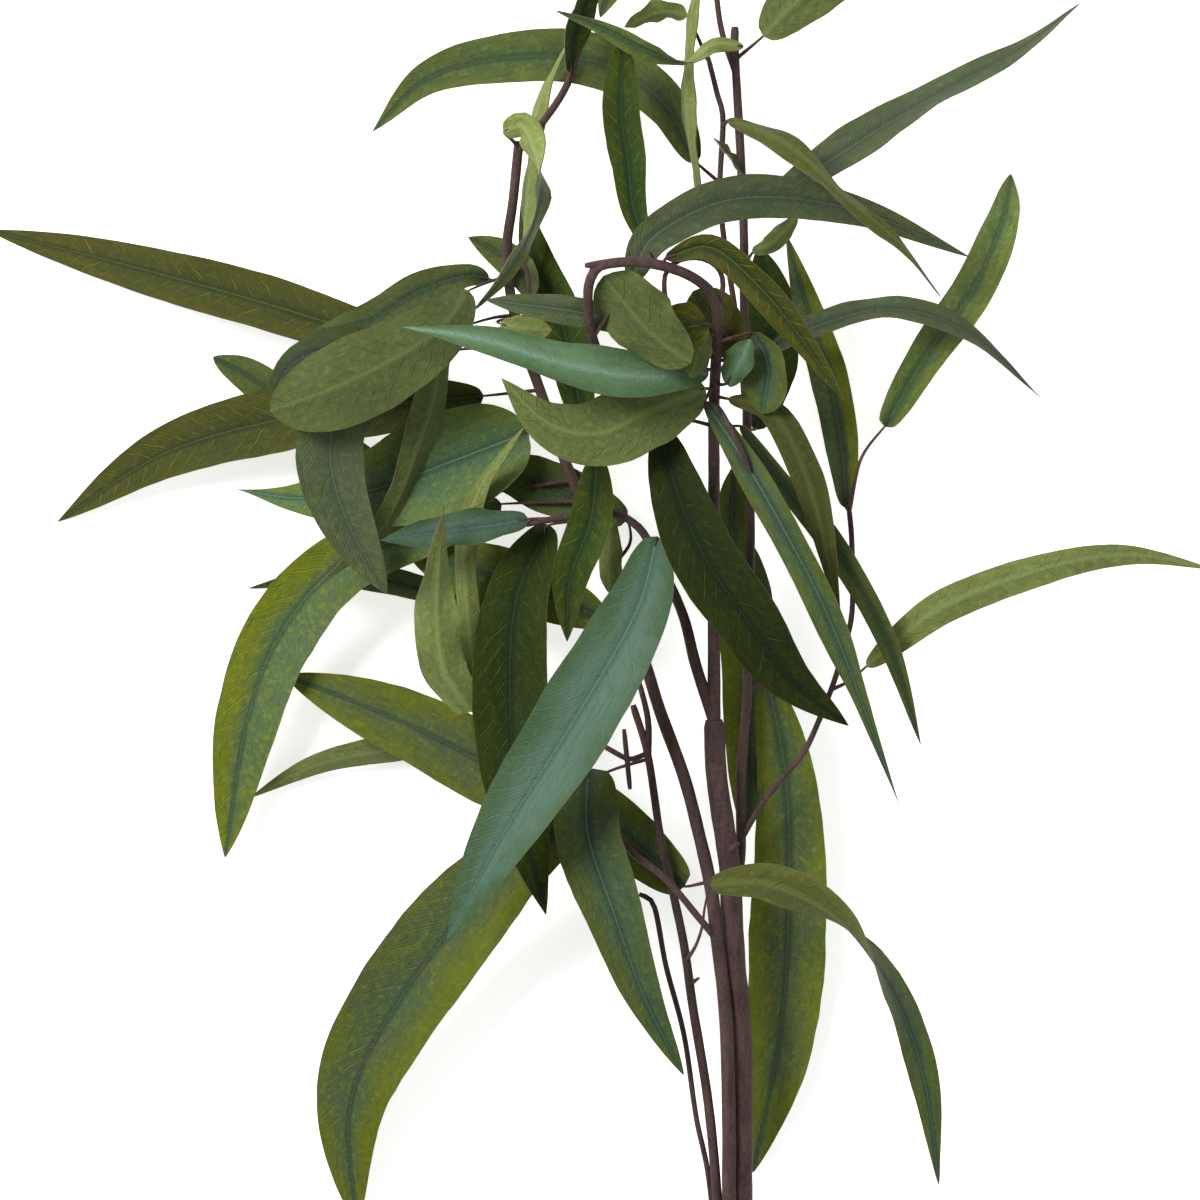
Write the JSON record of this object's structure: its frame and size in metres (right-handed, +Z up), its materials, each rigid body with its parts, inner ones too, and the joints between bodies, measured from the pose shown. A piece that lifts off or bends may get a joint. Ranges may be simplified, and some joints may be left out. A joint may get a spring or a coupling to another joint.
{
  "type": "eucalyptus branch",
  "caption": "Cut leafy branch with long sickle-shaped green leaves on thin brown stems that share one cut end, lying down.",
  "frame": {"origin": "centre of the branch's outline on the surface that it lies on", "axes": "+Y from the cut end towards the tips, +Z up from the surface, +X to the right seen from above"},
  "size_m": [0.4164, 0.651, 0.1127],
  "materials": {
    "foliage": "pressed leaf fabric, deep green to olive with paler veins, soft satin face and matte pale underside",
    "bark": "dark red-brown stem, finely rough and matte"
  },
  "bodies": {
    "root": {"trunk": "bark", "nodding_stem": "foliage", "left_fork": "foliage", "long_left_stem": "foliage", "lower_left_twig": "foliage", "right_stem": "foliage", "right_side_twig": "foliage", "thin_top_stem": "foliage", "low_stem": "foliage", "wire_shoot": "bark"}
  },
  "joints": []
}
